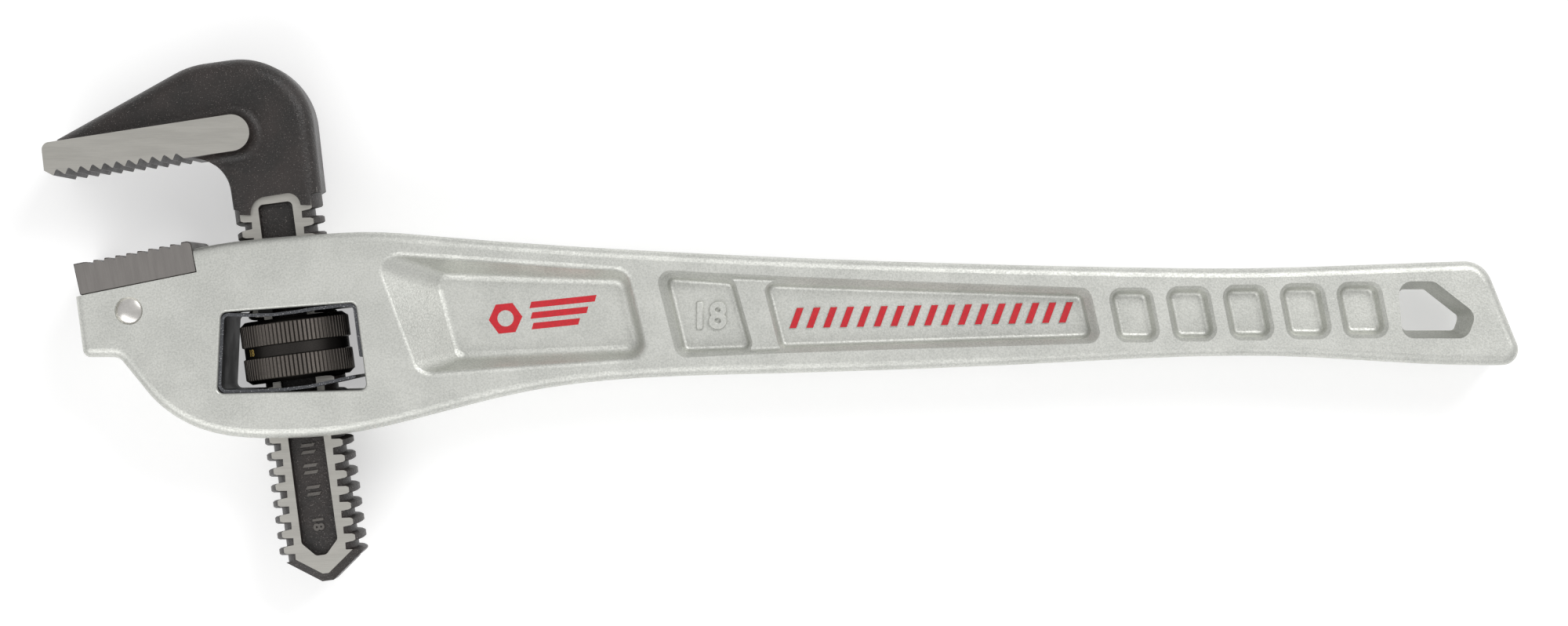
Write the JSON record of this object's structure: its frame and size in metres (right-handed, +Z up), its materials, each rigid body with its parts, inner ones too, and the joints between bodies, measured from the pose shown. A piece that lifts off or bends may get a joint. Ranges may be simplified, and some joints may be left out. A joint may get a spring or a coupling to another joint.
{
  "type": "pipe wrench",
  "caption": "Offset pipe wrench: cast aluminium I-beam handle, toothed heel jaw, and a threaded hook jaw set by a knurled nut in a window through the head.",
  "frame": {"origin": "on the surface that the wrench lies on, under the middle of its bounding box", "axes": "+X from the jaws to the handle's end, +Y from the body towards the hook jaw's back, +Z up through the wrench's thickness"},
  "size_m": [0.4686, 0.1668, 0.035],
  "materials": {
    "handle_cast": "sand-blasted light grey casting",
    "heel_jaw_steel": "ground grey steel, straight grain",
    "pin_steel": "bright domed steel",
    "hook_jaw_steel": "black oxide forging with bright ground sides",
    "nut_steel": "dark oiled steel with straight knurls",
    "spring_steel": "blackened spring strip with bright cut edges",
    "spring_wire": "drawn spring wire",
    "button_steel": "turned steel"
  },
  "bodies": {
    "handle": {"handle_body": "handle_cast", "heel_jaw": "heel_jaw_steel", "heel_jaw_pin": "pin_steel", "flat_spring": "spring_steel", "coil_spring": "spring_wire"},
    "rocker": {"spring_button": "button_steel"},
    "nut": {"adjusting_nut": "nut_steel"},
    "jaw": {"hook_jaw": "hook_jaw_steel"}
  },
  "joints": [
    {"name": "jaw_rock", "type": "hinge", "parent": "handle", "child": "rocker", "pos_m": [-0.1557, -0.00888, 0.0175], "axis": [0, 0, 1], "range_deg": [-1.5, 2], "stiffness_Nm_per_rad": 20, "deforming": ["coil_spring"]},
    {"name": "nut_spin", "type": "hinge", "parent": "rocker", "child": "nut", "pos_m": [-0.1557, -0.00888, 0.0175], "axis": [-0.1305, 0.9914, 0], "range_deg": [-3268, 1709]},
    {"name": "jaw_slide", "type": "slide", "parent": "rocker", "child": "jaw", "axis": [-0.1305, 0.9914, 0], "range_m": [-0.0241, 0.0461]}
  ],
  "couplings": [
    {"joint": "nut_spin", "follows": "jaw_slide", "rad_per_m": -1236.8}
  ]
}
